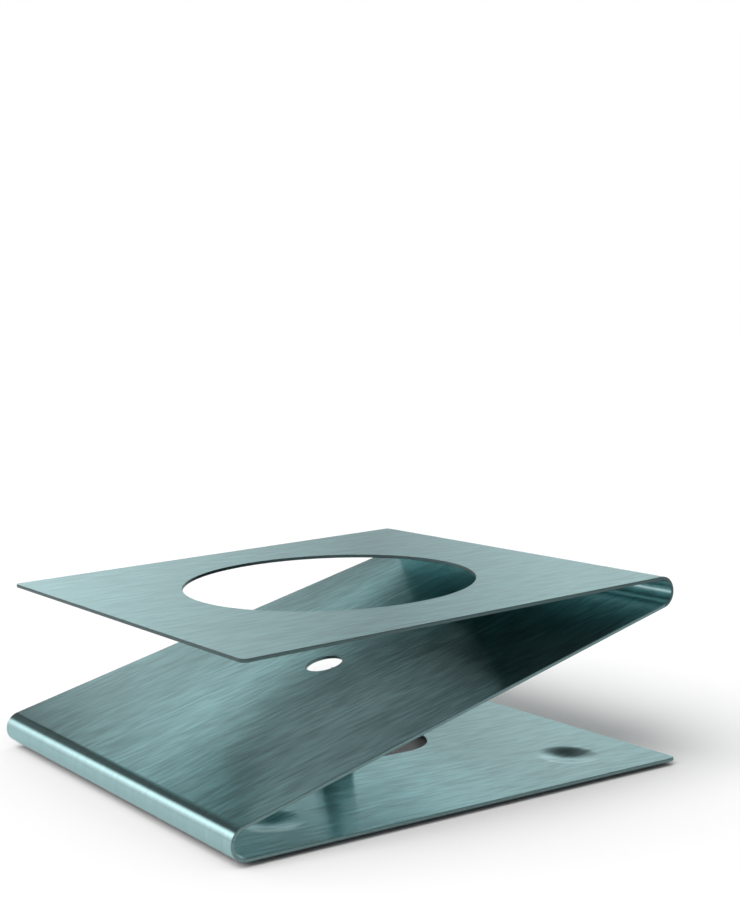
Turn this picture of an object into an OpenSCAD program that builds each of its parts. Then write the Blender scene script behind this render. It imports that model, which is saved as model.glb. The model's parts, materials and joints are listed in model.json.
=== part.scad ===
// Egg piercer: one strip of spring steel folded into a Z, all sizes in millimetres.
// The egg stands in the round seat of the top plate. Pressing it down closes both bends by the same
// angle, so the top plate stays level, and the spike of the base comes up through the middle plate.
// The origin is on the floor, under the middle of the base's outline. X runs along the strip.

/* [Strip] */
// Width of the strip, front to back
strip_w = 42; // [36:0.5:56]
// Thickness of the sheet
sheet = 0.3; // [0.25:0.05:0.5]
// Inner radius of both spring bends
bend_r = 1.15; // [0.8:0.05:1.8]
// Radius of the corners at the two free ends
corner_r = 0.6; // [0.3:0.1:3]

/* [Plates] */
// Length of the base, from the lower bend to its free end
base_len = 46.3; // [42:0.1:56]
// Length of the middle plate, between the two bends
middle_len = 46.4; // [42:0.1:56]
// Length of the top plate, from the upper bend to its free end
top_len = 44.5; // [41:0.1:56]
// Rise of the middle plate at rest, in degrees
slope = 14.9; // [13:0.1:18]
// Fall of the top plate towards its free end, in degrees
top_fall = 2.5; // [0:0.1:5]

/* [Egg seat] */
// Diameter of the round seat that the egg stands in
seat_d = 27.3; // [22:0.1:32]
// Closing angle of the bends at which the seat is centred over the spike
meet_angle = 1; // [0:0.5:6]

/* [Spike] */
// Distance of the spike from the middle of the base, towards the lower bend
spike_offset = 0.3; // [0:0.1:1]
// Width of the spike's tongue, below its shoulders
spike_w = 6.4; // [5:0.1:7.4]
// Width of the point where it leaves the shoulders
point_w = 2.8; // [2:0.1:3.4]
// Fall of the shoulders from the point to the sides of the tongue, in degrees
shoulder_fall = 30; // [20:1:45]
// Height of the tip above the base
spike_h = 7.8; // [6:0.1:8]
// Inner radius of the bend at the spike's root
spike_bend_r = 0.5; // [0.4:0.05:1]
// Gap that the window leaves beside the spike's flat blank
window_gap = 1.6; // [0.8:0.1:2.2]
// Gap that the window leaves past the point of the flat blank
window_end_gap = 2.4; // [1.2:0.1:3]
// Closing angle of the bends when the egg is pressed right down
press_angle = 9; // [7:0.5:10]
// Room round the point in the hole of the middle plate, when pressed right down
hole_gap = 0.45; // [0.3:0.05:0.8]
// Room between the spike's shoulders and the middle plate, when pressed right down
neck_gap = 0.3; // [0.25:0.05:0.6]

/* [Feet] */
// Diameter of a pressed foot at its rim
foot_d = 5.5; // [4:0.1:7]
// Depth of the dish that is pressed into the sheet
foot_depth = 0.55; // [0.4:0.05:0.8]
// Diameter of the flat on which a foot stands
foot_flat_d = 2.4; // [1.6:0.1:3]
// Distance of the feet from the lower bend
foot_from_bend = 6; // [5:0.5:10]
// Distance of the feet from the free end of the base
foot_from_end = 7.6; // [6:0.1:10]
// Distance of the feet from the front and back edges
foot_inset = 6.5; // [5:0.5:10]

/* [Hidden] */
$fn = 96;
steel = [0.62, 0.70, 0.71];
cut = 1; // how far a cutting shape runs past the sheet

// The dish of a foot is part of a ball; the sheet keeps its thickness outside it.
dish_r = (pow(foot_d / 2, 2) + pow(foot_depth, 2)) / (2 * foot_depth);
crown_r = dish_r + sheet;
crown_cut = crown_r - sqrt(pow(crown_r, 2) - pow(foot_flat_d / 2, 2));
base_z = foot_depth - crown_cut;
base_top = base_z + sheet;

// Middle of the sheet, measured from the axis of a bend, and the space between two plates at a bend
mid_r = bend_r + sheet / 2;
plate_step = 2 * bend_r + sheet;

// Axis of the lower bend. The base's outline runs from the outside of that bend to the free end.
lower_x = (bend_r + sheet - base_len) / 2;
lower_z = base_top + bend_r;

// The spike stands near the middle of the base, and its blank is as long as the window is deep.
spike_x = -spike_offset;
spike_root_x = spike_x - spike_bend_r - sheet / 2;
blade_h = spike_h - spike_bend_r;
blank_len = blade_h + PI / 2 * (spike_bend_r + sheet / 2);
window_w = spike_w + 2 * window_gap;
window_end_x = spike_root_x + blank_len + window_end_gap;

// Hole of the middle plate: centred over the spike when pressed right down. The spike's shoulders then stay
// just under the plate, and the hole is wide enough for the point.
spike_reach = spike_x - lower_x;
pressed = slope - press_angle;
hole_s = (spike_reach + mid_r * sin(pressed)) / cos(pressed);
pressed_h = bend_r + spike_reach * tan(pressed) + bend_r / cos(pressed);
point_h = spike_h - pressed_h + neck_gap;
hole_d = point_w * (point_h - neck_gap) / point_h + 2 * hole_gap;
neck = blade_h - point_h;
shoulder = neck - (spike_w - point_w) / 2 * tan(shoulder_fall);

// Seat of the top plate: centred over the spike at the meeting angle
meeting = slope - meet_angle;
upper_reach = middle_len * cos(meeting) - plate_step * sin(meeting);
seat_s = (upper_reach - spike_reach - mid_r * sin(top_fall)) / cos(top_fall);

// Places its children in the frame of the middle plate: the origin is on the axis of the lower bend.
module on_middle() {
    translate([lower_x, 0, lower_z])
        rotate([0, -slope, 0])
            children();
}

// Places its children in the frame of the top plate: the origin is on the axis of the upper bend.
module on_top() {
    on_middle()
        translate([middle_len, 0, plate_step])
            rotate([0, slope - top_fall, 0])
                children();
}

// Flat outline of a plate from x = 0, with two rounded corners at its free end
module free_outline(length) {
    translate([0, -strip_w / 2])
        square([length - corner_r, strip_w]);
    translate([0, corner_r - strip_w / 2])
        square([length, strip_w - 2 * corner_r]);
    for (side = [-1, 1])
        translate([length - corner_r, side * (strip_w / 2 - corner_r)])
            circle(corner_r);
}

// Sheet bent round the Y axis, from one angle through another, both counted from +X towards +Z
module bent_sheet(inner_r, width, from, through) {
    rotate([90, 0, 0])
        rotate([0, 0, from])
            rotate_extrude(angle = through)
                translate([inner_r, -width / 2])
                    square([sheet, width]);
}

// Window that the spike's blank leaves in the base, with a round end and a round relief on each side
module window_outline() {
    translate([spike_root_x, -window_w / 2])
        square([window_end_x - window_w / 2 - spike_root_x, window_w]);
    translate([window_end_x - window_w / 2, 0])
        circle(d = window_w);
    for (side = [-1, 1])
        translate([spike_root_x, side * (spike_w + window_gap) / 2])
            circle(d = window_gap);
}

// Centres of the four feet
module each_foot() {
    for (x = [lower_x + foot_from_bend, lower_x + base_len - foot_from_end])
        for (side = [-1, 1])
            translate([x, side * (strip_w / 2 - foot_inset), 0])
                children();
}

// Outside of a pressed foot, from the underside of the sheet down to its flat
module foot_crown() {
    intersection() {
        translate([0, 0, base_top - foot_depth + dish_r])
            sphere(crown_r);
        cylinder(d = foot_d + 2 * sheet, h = base_z + sheet / 2);
    }
}

// Inside of a pressed foot
module foot_dish() {
    translate([0, 0, base_top - foot_depth + dish_r])
        sphere(dish_r);
}

module base_plate() {
    color(steel)
        difference() {
            union() {
                translate([0, 0, base_z])
                    linear_extrude(sheet)
                        difference() {
                            translate([lower_x, 0])
                                free_outline(base_len);
                            window_outline();
                        }
                each_foot()
                    foot_crown();
            }
            each_foot()
                foot_dish();
        }
}

// Flat outline of the spike from its root bend up: a tongue with sloping shoulders, and a point on it
module spike_outline() {
    polygon([
        [-spike_w / 2, 0],
        [spike_w / 2, 0],
        [spike_w / 2, shoulder],
        [point_w / 2, neck],
        [0, blade_h],
        [-point_w / 2, neck],
        [-spike_w / 2, shoulder]
    ]);
}

module piercing_spike() {
    color(steel) {
        translate([spike_root_x, 0, base_top + spike_bend_r])
            bent_sheet(spike_bend_r, spike_w, -90, 90);
        translate([spike_root_x + spike_bend_r, 0, base_top + spike_bend_r])
            rotate([90, 0, 90])
                linear_extrude(sheet)
                    spike_outline();
    }
}

module lower_bend() {
    color(steel)
        translate([lower_x, 0, lower_z])
            bent_sheet(bend_r, strip_w, 90 + slope, 180 - slope);
}

module middle_plate() {
    color(steel)
        on_middle()
            translate([0, 0, bend_r])
                difference() {
                    translate([0, -strip_w / 2, 0])
                        cube([middle_len, strip_w, sheet]);
                    translate([hole_s, 0, -cut])
                        cylinder(d = hole_d, h = sheet + 2 * cut);
                }
}

module upper_bend() {
    color(steel)
        on_top()
            bent_sheet(bend_r, strip_w, slope - top_fall - 90, 180 - slope + top_fall);
}

module top_plate() {
    color(steel)
        on_top()
            translate([0, 0, bend_r])
                difference() {
                    linear_extrude(sheet)
                        mirror([1, 0])
                            free_outline(top_len);
                    translate([-seat_s, 0, -cut])
                        cylinder(d = seat_d, h = sheet + 2 * cut);
                }
}

base_plate();
piercing_spike();
lower_bend();
middle_plate();
upper_bend();
top_plate();
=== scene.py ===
"""Egg piercer: the looks of one strip of brushed spring steel that is folded into a Z.

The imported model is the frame. Each plate, each bend and the spike is built again as a closed sheet with
rounded cut edges, soft-shouldered feet and a brushed finish that runs on round the bends.
Lengths are metres and angles are radians, unless a name says otherwise.
"""

import json
from math import asin, atan2, cos, pi, radians, sin, sqrt, tan

import bmesh
import bpy
from mathutils import Matrix, Vector
from mathutils.geometry import tessellate_polygon


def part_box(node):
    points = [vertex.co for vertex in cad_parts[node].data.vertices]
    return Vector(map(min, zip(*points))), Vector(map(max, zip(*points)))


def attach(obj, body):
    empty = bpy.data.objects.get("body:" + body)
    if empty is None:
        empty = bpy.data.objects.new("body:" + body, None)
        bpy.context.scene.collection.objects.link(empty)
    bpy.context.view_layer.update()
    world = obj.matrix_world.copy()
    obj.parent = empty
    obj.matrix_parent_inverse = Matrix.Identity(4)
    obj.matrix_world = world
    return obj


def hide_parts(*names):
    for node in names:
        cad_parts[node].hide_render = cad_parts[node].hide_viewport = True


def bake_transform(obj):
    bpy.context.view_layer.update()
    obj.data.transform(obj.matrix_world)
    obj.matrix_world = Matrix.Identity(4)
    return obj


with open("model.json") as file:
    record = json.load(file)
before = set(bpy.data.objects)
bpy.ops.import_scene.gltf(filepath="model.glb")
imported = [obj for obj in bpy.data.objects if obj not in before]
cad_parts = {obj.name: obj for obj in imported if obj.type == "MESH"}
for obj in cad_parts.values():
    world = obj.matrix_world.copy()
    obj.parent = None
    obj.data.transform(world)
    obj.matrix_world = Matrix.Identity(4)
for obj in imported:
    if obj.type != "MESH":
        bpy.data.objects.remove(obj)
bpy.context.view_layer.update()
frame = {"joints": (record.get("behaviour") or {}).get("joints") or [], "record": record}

MM = 0.001

# Finer sizes than the frame gives: the rounding of cut edges, the corners, the window and the hole
EDGE_R = 0.05 * MM
CORNER_R = 0.6 * MM
WINDOW_GAP = 1.6 * MM
WINDOW_END_GAP = 2.4 * MM
HOLE_GAP = 0.45 * MM

# The spike: room under the plate when pressed, its point, its shoulders and its thinned tip
NECK_GAP = 0.3 * MM
POINT_HALF_W = 1.4 * MM
SHOULDER_FALL = radians(30)
TIP_HALF_W = 0.06 * MM
TIP_TAPER = 2.0 * MM

# The feet: rim, depth and level middle of the dish, and the flat that is stood on
FOOT_RIM_R = 3.0 * MM
FOOT_DEPTH = 0.36 * MM
FOOT_MIDDLE_R = 0.15 * MM
FOOT_FLAT_R = 1.2 * MM
FOOT_FROM_END = 7.6 * MM

# Steps of the curved forms
EDGE_STEPS = 3
CORNER_STEPS = 8
HOLE_STEPS = 72
SEAT_STEPS = 180
WINDOW_STEPS = 40
RELIEF_STEPS = 16
BEND_STEPS = 64
SPIKE_BEND_STEPS = 16
FOOT_RINGS = 14
FOOT_STEPS = 64

# Camera at the photograph's place, for an image of 740 by 900 pixels
IMAGE_H_PX = 900
FOCAL_PX = 1530.3
CAMERA_AT = Vector((-80.694, -116.673, 40.18)) * MM
CAMERA_AZIMUTH = radians(-36.016)
CAMERA_DOWN = radians(4.504)
SENSOR_MM = 36.0

# Steel of the plates, bends and spike: each colour goes from dark to light along the brushing
STEEL_DARK = (0.24, 0.365, 0.375)
STEEL_LIGHT = (0.41, 0.62, 0.63)
BEND_DARK = (0.3, 0.455, 0.465)
BEND_LIGHT = (0.35, 0.53, 0.54)
# The spike's colours are the plates' steel painted darker: painted shade on the spike and in its reflection
SHADED_SPIKE_DARK = (0.15, 0.23, 0.235)
SHADED_SPIKE_LIGHT = (0.24, 0.365, 0.37)
STEEL_GRAZING = (0.78, 0.92, 0.93)
STEEL_ROUGHNESS = (0.225, 0.255)
STEEL_ANISOTROPY = 0.95
SCRATCH_DEPTH = 0.002 * MM

# Layers of brushing: share, width and length of its marks in millimetres, and detail
BRUSHING = ((0.3, 0.12, 6.0, 1.0), (0.45, 0.45, 3.0, 1.5), (0.25, 1.4, 8.0, 1.0))
BRUSHING_RANGE = (0.36, 0.64)

# Cut edges, and darker copies of them on the top plate, the upper bend and the spike: painted shade
CUT_DARK = (0.105, 0.165, 0.17)
CUT_LIGHT = (0.19, 0.3, 0.305)
SHADED_CUT_DARK = (0.05, 0.085, 0.088)
SHADED_CUT_LIGHT = (0.1, 0.145, 0.148)
CUT_ROUGHNESS = (0.35, 0.5)
CUT_MARKS_PER_M = 6000.0
CUT_MARKS_DETAIL = 2.0
NOISE_RANGE = (0.3, 0.7)

# Light that the steel reflects, in a dim room: a white wall behind at the right with a side light past it,
# a soft box behind at the left with a weak light between the two, a grey wall in front and a card overhead.
# Each has a strength. Each pair of numbers is where a fade starts and ends, as a part of the direction
# looked in, and a share is what is left at its weaker end. Light from low down is slightly warmer.
DIM = 0.02
BEHIND = (-0.1, 0.2)
WALL_POWER = 2.3
WALL_LEFT = (0.2, 0.29)
WALL_RIGHT = (0.36, 0.56)
WALL_RIGHT_SHARE = 0.5
WALL_TOP = (0.42, 0.53)
WALL_LEAN = 0.2
WALL_FOOT = (0.0, 0.2)
WALL_FOOT_SHARE = 0.4
SIDE_POWER = 0.6
SIDE = (0.57, 0.66)
GAP_POWER = 0.3
GAP = (0.02, 0.18)
SOFT_BOX_POWER = 3.8
SOFT_BOX_RIGHT = (-0.42, -0.34)
SOFT_BOX_LEFT = (-0.66, -0.5)
SOFT_BOX_LEFT_SHARE = 0.3
SOFT_BOX_TOP = (0.4, 0.6)
SOFT_BOX_FOOT = (0.08, 0.3)
SOFT_BOX_FOOT_SHARE = 0.35
LOW_TINT = (1.08, 1.0, 1.0)
LOW_TINT_UP_TO = (0.2, 0.28)
FRONT_POWER = 0.5
FRONT = (-0.4, -0.2)
FRONT_TOP = (0.5, 0.8)
CARD_POWER = 0.8
CARD = (0.85, 0.95)

# Floor, its even light from above and the left, the share of it that comes by way of steel, and a lamp
FLOOR_SIZE = 4.0
FLOOR_LIGHT = 0.65
FLOOR_LIGHT_LOW = (0.1, 0.6)
FLOOR_LIGHT_LEAN = -0.3
FLOOR_LIGHT_TINT = (0.95, 1.0, 1.0)
OFF_STEEL_SHARE = 0.1
FLOOR_WHITE = (0.9, 0.9, 0.9)
FLOOR_AGAIN = (0.12, 0.13, 0.13)
OVERHEAD_FROM = Vector((-0.7, -0.1, 0.75))
OVERHEAD_WIDTH = radians(55)
OVERHEAD_POWER = 2.65
OVERHEAD_TINT = (1.0, 0.96, 0.96)

# Sizes and places that follow from the frame
joints = {joint["name"]: joint for joint in frame["joints"]}
mounts = {mount["name"]: mount for mount in frame["record"]["mounts"]}
base_low, base_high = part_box("base_plate")
spike_low, spike_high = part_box("piercing_spike")
top_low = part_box("top_plate")[0]
lower_axis = Vector(joints["lower_fold"]["pos_m"])
upper_axis = Vector(joints["upper_fold"]["pos_m"])

half_w = (base_high.y - base_low.y) / 2
sheet = mounts["egg_seat"]["dims"]["length_mm"] * MM
seat_r = mounts["egg_seat"]["dims"]["r_mm"] * MM
bend_r = lower_axis.z - base_high.z
mid_r = bend_r + sheet / 2
plate_step = 2 * bend_r + sheet

base_len = base_high.x - lower_axis.x
base_z = base_high.z - sheet
between = upper_axis - lower_axis
middle_len = sqrt(between.x**2 + between.z**2 - plate_step**2)
slope = atan2(between.z, between.x) - atan2(plate_step, middle_len)
top_fall = asin(-mounts["egg_seat"]["axis"][0])
top_reach = upper_axis.x - top_low.x
top_len = (top_reach - (bend_r + sheet) * sin(top_fall)) / cos(top_fall)
seat_from_axis = upper_axis - Vector(mounts["egg_seat"]["pos_m"])
seat_s = seat_from_axis.x * cos(top_fall) + seat_from_axis.z * sin(top_fall)

spike_half_w = (spike_high.y - spike_low.y) / 2
spike_bend_r = spike_high.x - spike_low.x - sheet
spike_mid_r = spike_bend_r + sheet / 2
spike_root_x = spike_low.x
spike_h = spike_high.z - base_high.z
blade_h = spike_h - spike_bend_r
blank_len = blade_h + pi / 2 * spike_mid_r
window_half_w = spike_half_w + WINDOW_GAP
window_end_x = spike_root_x + blank_len + WINDOW_END_GAP

# The hole of the middle plate comes over the spike when the bends are closed, and the spike's shoulders
# then stay just under the plate.
pressed = slope - radians(joints["lower_fold"]["range_deg"][1])
spike_reach = spike_root_x + spike_mid_r - lower_axis.x
hole_s = (spike_reach + mid_r * sin(pressed)) / cos(pressed)
pressed_h = bend_r + spike_reach * tan(pressed) + bend_r / cos(pressed)
point_h = spike_h - pressed_h + NECK_GAP
hole_r = POINT_HALF_W * (point_h - NECK_GAP) / point_h + HOLE_GAP
neck = blade_h - point_h
shoulder = neck - (spike_half_w - POINT_HALF_W) * tan(SHOULDER_FALL)

foot_near = Vector(mounts["standing_face"]["pos_m"])
foot_side = abs(foot_near.y)
foot_xs = (foot_near.x, base_high.x - FOOT_FROM_END)
foot_under_r = FOOT_RIM_R + sheet / 3

# Places along the flat strip where each piece starts, counted from the base's free end
lower_bend_at = base_len
middle_at = lower_bend_at + mid_r * (pi - slope)
upper_bend_at = middle_at + middle_len
top_at = upper_bend_at + mid_r * (pi - slope + top_fall)


class Sheet:
    """A piece of sheet under construction: its points, their normals, their places on the flat strip."""

    def __init__(self):
        self.points = []
        self.normals = []
        self.flat = []
        self.faces = []
        self.cut_faces = set()

    def add(self, point, normal, along, across):
        """Adds a point with its normal and its place on the flat strip, and gives back its number."""
        self.points.append(Vector(point))
        self.normals.append(Vector(normal).normalized())
        self.flat.append((across / MM, along / MM))
        return len(self.points) - 1

    def face(self, corners, cut=False):
        """Adds a face by the numbers of its corners, as a cut edge or as one of the brushed sides."""
        if cut:
            self.cut_faces.add(len(self.faces))
        self.faces.append(tuple(corners))

    def fill(self, rings):
        """Fills the area between closed rings of points with triangles."""
        corners = [i for ring in rings for i in ring]
        for triangle in tessellate_polygon([[self.points[i] for i in ring] for ring in rings]):
            self.face(corners[i] for i in triangle)

    def bridge(self, upper, lower, cut=False):
        """Joins two closed rings of the same number of points with quads."""
        count = len(upper)
        for i in range(count):
            j = (i + 1) % count
            self.face((lower[i], lower[j], upper[j], upper[i]), cut)

    def build(self, name, face_material, edge_material, place=Matrix.Identity(4)):
        """Makes the Blender object, moved by a matrix, with materials for its faces and its cut edges."""
        mesh = bpy.data.meshes.new(name)
        mesh.from_pydata([place @ p for p in self.points], [], self.faces)
        for index in self.cut_faces:
            mesh.polygons[index].material_index = 1
        editable = bmesh.new()
        editable.from_mesh(mesh)
        bmesh.ops.recalc_face_normals(editable, faces=editable.faces)
        editable.to_mesh(mesh)
        editable.free()
        strip_map = mesh.uv_layers.new(name="strip")
        for loop in mesh.loops:
            strip_map.data[loop.index].uv = self.flat[loop.vertex_index]
        mesh.shade_smooth()
        turn = place.to_3x3()
        mesh.normals_split_custom_set_from_vertices([turn @ n for n in self.normals])
        mesh.materials.append(face_material)
        mesh.materials.append(edge_material)
        piece = bpy.data.objects.new(name, mesh)
        bpy.context.scene.collection.objects.link(piece)
        return piece


def edge_profile():
    """Rings of a rounded cut edge, from the top face to the underside: inset, height, normal's tilt."""
    quarter = []
    for step in range(EDGE_STEPS + 1):
        tilt = pi / 2 * step / EDGE_STEPS
        quarter.append((EDGE_R * (1 - sin(tilt)), sheet / 2 - EDGE_R * (1 - cos(tilt)), tilt))
    return quarter + [(inset, -height, pi - tilt) for inset, height, tilt in reversed(quarter)]


def arc(x, y, radius, start, end, steps):
    """Points of an arc, both ends included."""
    angles = [start + (end - start) * i / steps for i in range(steps + 1)]
    return [(x + radius * cos(a), y + radius * sin(a)) for a in angles]


def circle(x, y, radius, steps):
    """Closed outline of a hole, clockwise, so that the sheet is on its left."""
    return [point + (True,) for point in arc(x, y, radius, 0, -2 * pi, steps)[:-1]]


def free_outline(length):
    """Closed outline of a plate with two rounded corners at its free end and a bend at x = 0."""
    x = length - CORNER_R
    y = half_w - CORNER_R
    points = [(0, -half_w)]
    points += arc(x, -y, CORNER_R, -pi / 2, 0, CORNER_STEPS)
    points += arc(x, y, CORNER_R, 0, pi / 2, CORNER_STEPS)
    return [point + (True,) for point in points] + [(0, half_w, False)]


def window_outline():
    """Closed outline of the base's window, clockwise, with a bend where the spike leaves it."""
    x = spike_root_x - lower_axis.x
    end_x = window_end_x - lower_axis.x - window_half_w
    relief_y = spike_half_w + WINDOW_GAP / 2
    points = arc(x, relief_y, WINDOW_GAP / 2, 3 * pi / 2, pi / 2, RELIEF_STEPS)
    points += arc(end_x, 0, window_half_w, pi / 2, -pi / 2, WINDOW_STEPS)
    points += arc(x, -relief_y, WINDOW_GAP / 2, 3 * pi / 2, pi / 2, RELIEF_STEPS)
    return [point + (True,) for point in points[:-1]] + [points[-1] + (False,)]


def outward_of(outline, index):
    """Unit vectors away from the sheet, for the edges before and after a point of an outline."""
    x, y, _ = outline[index]
    before = Vector((x, y)) - Vector(outline[index - 1][:2])
    after = Vector(outline[(index + 1) % len(outline)][:2]) - Vector((x, y))
    return [Vector((edge.y, -edge.x)).normalized() for edge in (before, after)]


def inset_point(outline, index, inset):
    """A point of an outline moved into the sheet from its cut edges, and its outward normal."""
    x, y, cut_after = outline[index]
    cut_before = outline[index - 1][2]
    first, second = outward_of(outline, index)
    if not cut_before:
        outward = second
    elif not cut_after:
        outward = first
    else:
        outward = (first + second).normalized()
    reach = inset / outward.dot(first if cut_before else second)
    return x - outward.x * reach, y - outward.y * reach, outward


def flat_plate(outlines, height, along_of, feet=()):
    """A flat sheet in its own frame, with its middle at the given height. The first outline is the rim."""
    piece = Sheet()
    top_rings = []
    low_rings = []
    for outline in outlines:
        rings = []
        for inset, z, tilt in edge_profile():
            ring = []
            for index in range(len(outline)):
                x, y, outward = inset_point(outline, index, inset)
                normal = (outward.x * sin(tilt), outward.y * sin(tilt), cos(tilt))
                ring.append(piece.add((x, y, height + z), normal, along_of(x), y))
            rings.append(ring)
        for upper, lower in zip(rings, rings[1:]):
            piece.bridge(upper, lower, cut=True)
        top_rings.append(rings[0])
        low_rings.append(rings[-1])
    for x, y in feet:
        dish = Vector((x, y, height + sheet / 2))
        under = Vector((x, y, height - sheet / 2))
        top_rings.append(pressed_foot(piece, dish, FOOT_DEPTH, FOOT_RIM_R, FOOT_MIDDLE_R, 1, along_of))
        low_rings.append(
            pressed_foot(piece, under, base_z, foot_under_r, FOOT_FLAT_R + FOOT_MIDDLE_R, -1, along_of)
        )
    piece.fill(top_rings)
    piece.fill(low_rings)
    return piece


def pressed_foot(piece, centre, depth, rim_r, level_r, side, along_of):
    """One face of a foot: a dish with a soft shoulder and a level middle. Gives back its rim."""
    rings = []
    for step in range(FOOT_RINGS):
        share = step / FOOT_RINGS
        radius = rim_r + (level_r - rim_r) * share
        fall = depth * share**2 * (3 - 2 * share)
        steep = depth * 6 * share * (1 - share) / (rim_r - level_r)
        ring = []
        for i in range(FOOT_STEPS):
            a = 2 * pi * i / FOOT_STEPS
            at = (centre.x + radius * cos(a), centre.y + radius * sin(a), centre.z - fall)
            normal = (-side * steep * cos(a), -side * steep * sin(a), side)
            ring.append(piece.add(at, normal, along_of(at[0]), at[1]))
        rings.append(ring)
    for outer, inner in zip(rings, rings[1:]):
        piece.bridge(outer, inner)
    lowest = (centre.x, centre.y, centre.z - depth)
    middle = piece.add(lowest, (0, 0, side), along_of(centre.x), centre.y)
    last = rings[-1]
    for i in range(FOOT_STEPS):
        piece.face((last[i], last[(i + 1) % FOOT_STEPS], middle))
    return rings[0]


def section(half_width, thickness=sheet):
    """Closed section across a strip: place across, height, and the normal's two parts."""
    scale = thickness / sheet
    points = []
    for side in (1, -1):
        half = []
        for inset, z, tilt in edge_profile():
            half.append((side * (half_width - inset * scale), z * scale, side * sin(tilt), cos(tilt)))
        points += half if side > 0 else reversed(half)
    return points


def strip_of_rows(rows):
    """A closed sheet through a list of rings of points, capped at both ends."""
    piece = Sheet()
    rings = []
    for row in rows:
        rings.append([piece.add(*corner) for corner in row])
    count = len(rings[0])
    # Faces of the ring that are the two brushed sides of the sheet
    flat_sides = (count // 2 - 1, count - 1)
    for lower, upper in zip(rings, rings[1:]):
        for i in range(count):
            j = (i + 1) % count
            piece.face((lower[i], lower[j], upper[j], upper[i]), i not in flat_sides)
    piece.face(rings[0])
    piece.face(rings[-1])
    return piece


def bent_row(axis, radius, angle, along, half_width):
    """Section of a sheet bent round an axis, at an angle from +X towards +Z."""
    row = []
    for y, z, across, out in section(half_width):
        r = radius + z
        point = (axis.x + r * cos(angle), y, axis.z + r * sin(angle))
        row.append((point, (out * cos(angle), across, out * sin(angle)), along, y))
    return row


def spring_bend(axis, start, end, along):
    """Half turn of the strip between two plates."""
    rows = []
    for step in range(BEND_STEPS + 1):
        angle = start + (end - start) * step / BEND_STEPS
        rows.append(bent_row(axis, mid_r, angle, along + mid_r * abs(angle - start), half_w))
    return strip_of_rows(rows)


def spike():
    """The tongue: a quarter bend out of the base, two shoulders, and a point that thins towards its tip."""
    axis = Vector((spike_root_x, 0, base_high.z + spike_bend_r))
    root_at = lower_bend_at - (spike_root_x - lower_axis.x)
    rows = []
    for step in range(SPIKE_BEND_STEPS + 1):
        angle = -pi / 2 + pi / 2 * step / SPIKE_BEND_STEPS
        along = root_at + spike_mid_r * (angle + pi / 2)
        rows.append(bent_row(axis, spike_mid_r, angle, along, spike_half_w))
    blade_at = root_at + spike_mid_r * pi / 2
    taper_half_w = POINT_HALF_W * TIP_TAPER / point_h
    outline = (
        (shoulder, spike_half_w, sheet),
        (neck, POINT_HALF_W, sheet),
        (blade_h - TIP_TAPER, taper_half_w, sheet),
        (blade_h, TIP_HALF_W, 2 * TIP_HALF_W),
    )
    for rise, half_width, thickness in outline:
        row = []
        for y, z, across, out in section(half_width, thickness):
            point = (axis.x + spike_mid_r + z, y, axis.z + rise)
            row.append((point, (out, across, 0), blade_at + rise, y))
        rows.append(row)
    return strip_of_rows(rows)


class Nodes:
    """Short way to add and join the nodes of one tree."""

    def __init__(self, tree):
        self.tree = tree
        tree.nodes.clear()

    def add(self, kind, **settings):
        """Adds a node with its settings."""
        node = self.tree.nodes.new(kind)
        for key, value in settings.items():
            setattr(node, key, value)
        return node

    def join(self, source, target):
        """Links an output to an input."""
        self.tree.links.new(source, target)

    def streaks(self, width_mm, length_mm, detail):
        """Noise that is drawn out along the strip."""
        place = self.add("ShaderNodeUVMap", uv_map="strip")
        stretch = self.add("ShaderNodeMapping")
        stretch.inputs["Scale"].default_value = (1 / width_mm, 1 / length_mm, 1)
        noise = self.add("ShaderNodeTexNoise", noise_dimensions="2D")
        noise.inputs["Scale"].default_value = 1.0
        noise.inputs["Detail"].default_value = detail
        self.join(place.outputs["UV"], stretch.inputs["Vector"])
        self.join(stretch.outputs["Vector"], noise.inputs["Vector"])
        return noise.outputs["Fac"]

    def ramp(self, source, low, high, dark, light):
        """Colour from dark to light as the source goes from low to high."""
        ramp = self.add("ShaderNodeValToRGB")
        ramp.color_ramp.elements[0].position = low
        ramp.color_ramp.elements[0].color = (*dark, 1)
        ramp.color_ramp.elements[1].position = high
        ramp.color_ramp.elements[1].color = (*light, 1)
        self.join(source, ramp.inputs["Fac"])
        return ramp.outputs["Color"]

    def math(self, operation, *values):
        """A sum, product or the like of sockets and plain numbers."""
        node = self.add("ShaderNodeMath", operation=operation)
        for slot, value in zip(node.inputs, values):
            if isinstance(value, bpy.types.NodeSocket):
                self.join(value, slot)
            else:
                slot.default_value = value
        return node.outputs["Value"]

    def background(self, strength):
        """White light of one strength."""
        node = self.add("ShaderNodeBackground")
        node.inputs["Color"].default_value = (1, 1, 1, 1)
        node.inputs["Strength"].default_value = strength
        return node

    def mix_shader(self, share, first, second):
        """The first shader at share 0 and the second at share 1."""
        node = self.add("ShaderNodeMixShader")
        self.join(share, node.inputs["Fac"])
        self.join(first.outputs[0], node.inputs[1])
        self.join(second.outputs[0], node.inputs[2])
        return node

    def map_range(self, source, low, high, to_low, to_high):
        """A number that goes from to_low to to_high as the source goes from low to high."""
        node = self.add("ShaderNodeMapRange")
        node.inputs["From Min"].default_value = low
        node.inputs["From Max"].default_value = high
        node.inputs["To Min"].default_value = to_low
        node.inputs["To Max"].default_value = to_high
        self.join(source, node.inputs["Value"])
        return node.outputs["Result"]


def new_material(name, shader_kind):
    """A material with one shader: gives back the material, its nodes and the shader."""
    material = bpy.data.materials.new(name)
    material.use_nodes = True
    nodes = Nodes(material.node_tree)
    shader = nodes.add(shader_kind)
    output = nodes.add("ShaderNodeOutputMaterial")
    nodes.join(shader.outputs["BSDF"], output.inputs["Surface"])
    return material, nodes, shader


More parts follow.
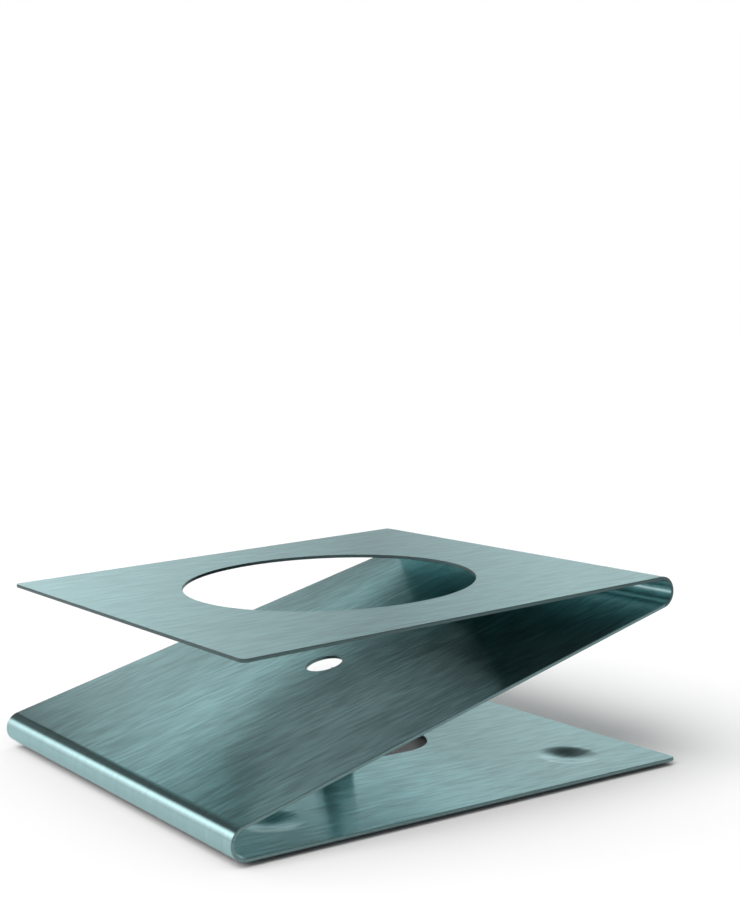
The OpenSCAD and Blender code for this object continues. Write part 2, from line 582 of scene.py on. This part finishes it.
def make_brushed_steel(name, dark, light):
    """Spring steel brushed along the strip: highlights spread across it, with fine to broad streaks."""
    material, nodes, shader = new_material(name, "ShaderNodeBsdfPrincipled")
    shader.inputs["Metallic"].default_value = 1.0
    shader.inputs["Anisotropic"].default_value = STEEL_ANISOTROPY
    shader.inputs["Specular Tint"].default_value = (*STEEL_GRAZING, 1)

    across = nodes.add("ShaderNodeTangent", direction_type="UV_MAP", uv_map="strip")
    nodes.join(across.outputs["Tangent"], shader.inputs["Tangent"])

    streak = 0
    for share, width_mm, length_mm, detail in BRUSHING:
        layer = nodes.streaks(width_mm, length_mm, detail)
        streak = nodes.math("MULTIPLY_ADD", layer, share, streak)
    colour = nodes.ramp(streak, *BRUSHING_RANGE, dark, light)
    nodes.join(colour, shader.inputs["Base Color"])
    roughness = nodes.map_range(streak, *NOISE_RANGE, *STEEL_ROUGHNESS)
    nodes.join(roughness, shader.inputs["Roughness"])

    scratches = nodes.add("ShaderNodeBump")
    scratches.inputs["Strength"].default_value = 1.0
    scratches.inputs["Distance"].default_value = SCRATCH_DEPTH
    nodes.join(streak, scratches.inputs["Height"])
    nodes.join(scratches.outputs["Normal"], shader.inputs["Normal"])
    return material


def make_cut_steel(name, dark, light):
    """The sheared edges of the sheet: the same steel, unbrushed, with fine marks."""
    material, nodes, shader = new_material(name, "ShaderNodeBsdfPrincipled")
    shader.inputs["Metallic"].default_value = 1.0
    place = nodes.add("ShaderNodeTexCoord")
    noise = nodes.add("ShaderNodeTexNoise")
    noise.inputs["Scale"].default_value = CUT_MARKS_PER_M
    noise.inputs["Detail"].default_value = CUT_MARKS_DETAIL
    nodes.join(place.outputs["Object"], noise.inputs["Vector"])
    marks = noise.outputs["Fac"]
    colour = nodes.ramp(marks, *NOISE_RANGE, dark, light)
    nodes.join(colour, shader.inputs["Base Color"])
    roughness = nodes.map_range(marks, *NOISE_RANGE, *CUT_ROUGHNESS)
    nodes.join(roughness, shader.inputs["Roughness"])
    return material


brushed_steel = make_brushed_steel("brushed_steel", STEEL_DARK, STEEL_LIGHT)
bend_steel = make_brushed_steel("bend_steel", BEND_DARK, BEND_LIGHT)
# The spike's steel is painted darker than the plates' steel: painted shade
shaded_spike_steel = make_brushed_steel("shaded_spike_steel", SHADED_SPIKE_DARK, SHADED_SPIKE_LIGHT)
cut_steel = make_cut_steel("cut_steel", CUT_DARK, CUT_LIGHT)
# A darker copy of the cut steel: painted shade on the edges that use it
shaded_cut_steel = make_cut_steel("shaded_cut_steel", SHADED_CUT_DARK, SHADED_CUT_LIGHT)

# Frames of the three plates: the origin is on the axis of the bend that each one starts from.
base_frame = Matrix.Translation((lower_axis.x, 0, 0))
middle_frame = Matrix.Translation(lower_axis) @ Matrix.Rotation(-slope, 4, "Y")
top_turn = Matrix.Rotation(-top_fall, 4, "Y") @ Matrix.Rotation(pi, 4, "Z")
top_frame = Matrix.Translation(upper_axis) @ top_turn

feet = [(x - lower_axis.x, side * foot_side) for x in foot_xs for side in (1, -1)]
base_outlines = [free_outline(base_len), window_outline()]
base_sheet = flat_plate(base_outlines, base_z + sheet / 2, lambda x: lower_bend_at - x, feet)
base = base_sheet.build("base_steel", brushed_steel, cut_steel, base_frame)
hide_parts("base_plate")
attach(base, "base")

tongue = spike().build("shaded_spike_steel", shaded_spike_steel, shaded_cut_steel)
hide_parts("piercing_spike")
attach(tongue, "base")

middle_rim = [
    (0, -half_w, True),
    (middle_len, -half_w, False),
    (middle_len, half_w, True),
    (0, half_w, False),
]
middle_outlines = [middle_rim, circle(hole_s, 0, hole_r, HOLE_STEPS)]
middle_sheet = flat_plate(middle_outlines, mid_r, lambda x: middle_at + x)
middle = middle_sheet.build("middle_steel", brushed_steel, cut_steel, middle_frame)
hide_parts("middle_plate")
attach(middle, "middle")

top_outlines = [free_outline(top_len), circle(seat_s, 0, seat_r, SEAT_STEPS)]
top_sheet = flat_plate(top_outlines, mid_r, lambda x: top_at + x)
top = top_sheet.build("top_steel", brushed_steel, shaded_cut_steel, top_frame)
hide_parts("top_plate")
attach(top, "top")

lower_start = 3 * pi / 2
lower_end = pi / 2 + slope
lower_sheet = spring_bend(lower_axis, lower_start, lower_end, lower_bend_at)
lower_bend = lower_sheet.build("lower_bend_steel", bend_steel, cut_steel)
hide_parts("lower_bend")
upper_start = slope - pi / 2
upper_end = pi / 2 + top_fall
upper_sheet = spring_bend(upper_axis, upper_start, upper_end, upper_bend_at)
upper_bend = upper_sheet.build("upper_bend_steel", bend_steel, shaded_cut_steel)
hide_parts("upper_bend")

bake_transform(lower_bend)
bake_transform(upper_bend)


def make_floor():
    """White floor that fades into the white surroundings, and is darker where light reaches it again."""
    material, nodes, shader = new_material("white_floor", "ShaderNodeBsdfDiffuse")
    path = nodes.add("ShaderNodeLightPath")
    again = nodes.math("MINIMUM", path.outputs["Diffuse Depth"], 1)
    nodes.join(nodes.ramp(again, 0, 1, FLOOR_WHITE, FLOOR_AGAIN), shader.inputs["Color"])
    signs = ((-1, -1), (1, -1), (1, 1), (-1, 1))
    corners = [(FLOOR_SIZE * x, FLOOR_SIZE * y, 0) for x, y in signs]
    mesh = bpy.data.meshes.new("floor")
    mesh.from_pydata(corners, [], [(0, 1, 2, 3)])
    mesh.materials.append(material)
    floor = bpy.data.objects.new("floor", mesh)
    bpy.context.scene.collection.objects.link(floor)


def steel_light(nodes, x, y, z):
    """Strength of the studio that steel reflects, by the three parts of the direction looked in."""
    behind = nodes.map_range(y, *BEHIND, 0, 1)
    leaning = nodes.math("MULTIPLY_ADD", x, WALL_LEAN, z)
    wall_left = nodes.map_range(x, *WALL_LEFT, 0, 1)
    wall_right = nodes.map_range(x, *WALL_RIGHT, 1, WALL_RIGHT_SHARE)
    wall_top = nodes.map_range(leaning, *WALL_TOP, 1, 0)
    wall_foot = nodes.map_range(z, *WALL_FOOT, WALL_FOOT_SHARE, 1)
    side = nodes.map_range(x, *SIDE, 0, 1)
    box_left = nodes.map_range(x, *SOFT_BOX_LEFT, SOFT_BOX_LEFT_SHARE, 1)
    box_right = nodes.map_range(x, *SOFT_BOX_RIGHT, 1, 0)
    box_top = nodes.map_range(z, *SOFT_BOX_TOP, 1, 0)
    box_foot = nodes.map_range(z, *SOFT_BOX_FOOT, SOFT_BOX_FOOT_SHARE, 1)
    gap = nodes.map_range(x, *GAP, 1, 0)
    front = nodes.map_range(y, *FRONT, 1, 0)
    front_top = nodes.map_range(z, *FRONT_TOP, 1, 0)
    card = nodes.map_range(z, *CARD, 0, 1)
    lights = (
        (WALL_POWER, wall_left, wall_right, wall_top, wall_foot, behind),
        (SIDE_POWER, side, wall_top, wall_foot, behind),
        (SOFT_BOX_POWER, box_left, box_right, box_top, box_foot, behind),
        (GAP_POWER, gap, box_top, behind),
        (FRONT_POWER, front, front_top),
        (CARD_POWER, card),
    )
    strength = DIM
    for power, *shares in lights:
        light = power
        for share in shares:
            light = nodes.math("MULTIPLY", share, light)
        strength = nodes.math("ADD", light, strength)
    return strength


def floor_light(nodes, path, x, z):
    """Strength of the even light on the floor, which is weaker by way of the steel."""
    from_left = nodes.math("MULTIPLY_ADD", x, FLOOR_LIGHT_LEAN, z)
    direct = nodes.map_range(from_left, *FLOOR_LIGHT_LOW, 0, FLOOR_LIGHT)
    off_steel = nodes.map_range(path.outputs["Is Glossy Ray"], 0, 1, 1, OFF_STEEL_SHARE)
    return nodes.math("MULTIPLY", direct, off_steel)


def make_world():
    """Studio: white for the camera, even light for the floor, and walls and lights for steel to reflect."""
    world = bpy.data.worlds.new("studio")
    world.use_nodes = True
    nodes = Nodes(world.node_tree)
    path = nodes.add("ShaderNodeLightPath")
    towards = nodes.add("ShaderNodeTexCoord").outputs["Generated"]
    parts = nodes.add("ShaderNodeSeparateXYZ")
    nodes.join(towards, parts.inputs["Vector"])
    x, y, z = (parts.outputs[axis] for axis in "XYZ")

    studio = nodes.background(1.0)
    nodes.join(steel_light(nodes, x, y, z), studio.inputs["Strength"])
    nodes.join(nodes.ramp(z, *LOW_TINT_UP_TO, LOW_TINT, (1, 1, 1)), studio.inputs["Color"])

    above = nodes.background(1.0)
    nodes.join(floor_light(nodes, path, x, z), above.inputs["Strength"])
    above.inputs["Color"].default_value = (*FLOOR_LIGHT_TINT, 1)

    from_floor = nodes.math("MINIMUM", path.outputs["Diffuse Depth"], 1)
    lit = nodes.mix_shader(from_floor, studio, above)
    seen = nodes.mix_shader(path.outputs["Is Camera Ray"], lit, nodes.background(1.0))
    output = nodes.add("ShaderNodeOutputWorld")
    nodes.join(seen.outputs[0], output.inputs["Surface"])
    bpy.context.scene.world = world


def make_overhead():
    """Large soft light overhead, a little to the left."""
    light = bpy.data.lights.new("overhead", "SUN")
    light.angle = OVERHEAD_WIDTH
    light.energy = OVERHEAD_POWER
    light.color = OVERHEAD_TINT
    lamp = bpy.data.objects.new("overhead", light)
    lamp.visible_glossy = False
    lamp.rotation_euler = (-OVERHEAD_FROM).to_track_quat("-Z", "Y").to_euler()
    bpy.context.scene.collection.objects.link(lamp)


def make_camera():
    """Camera at the photograph's place and angle."""
    data = bpy.data.cameras.new("camera")
    data.sensor_width = SENSOR_MM
    data.lens = SENSOR_MM * FOCAL_PX / IMAGE_H_PX
    camera = bpy.data.objects.new("camera", data)
    forward = Vector((
        -sin(CAMERA_AZIMUTH) * cos(CAMERA_DOWN),
        cos(CAMERA_AZIMUTH) * cos(CAMERA_DOWN),
        -sin(CAMERA_DOWN),
    ))
    camera.location = CAMERA_AT
    camera.rotation_euler = forward.to_track_quat("-Z", "Y").to_euler()
    bpy.context.scene.collection.objects.link(camera)
    bpy.context.scene.camera = camera


make_floor()
make_world()
make_overhead()
make_camera()
bpy.context.scene.view_settings.view_transform = "Standard"
